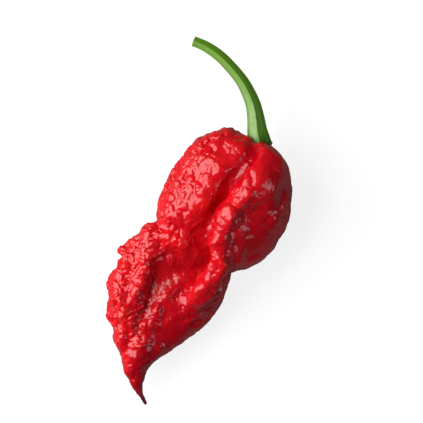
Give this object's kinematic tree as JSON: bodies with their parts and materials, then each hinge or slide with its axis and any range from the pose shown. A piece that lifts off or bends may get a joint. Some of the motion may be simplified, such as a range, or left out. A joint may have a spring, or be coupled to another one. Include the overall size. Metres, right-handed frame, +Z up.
{
  "type": "chilli pepper",
  "caption": "Ripe red hot chilli pepper with a deeply folded, blistered pod, a thin dry tail and a curved green stem, lying on its side",
  "frame": {"origin": "middle of the bounding box of the whole pepper, at the surface that it lies on", "axes": "+Z up from the surface, +Y from the tail towards the stem along the pepper's length, +X across it towards the side of the smooth lobe"},
  "size_m": [0.0456, 0.0882, 0.0241],
  "materials": {
    "pod_skin": "waxy ripe red skin, glossy, blistered and folded",
    "stem_skin": "fresh green stem, satin, with soft lengthwise ribs"
  },
  "bodies": {
    "root": {"pod": "pod_skin", "stem": "stem_skin"}
  },
  "joints": []
}
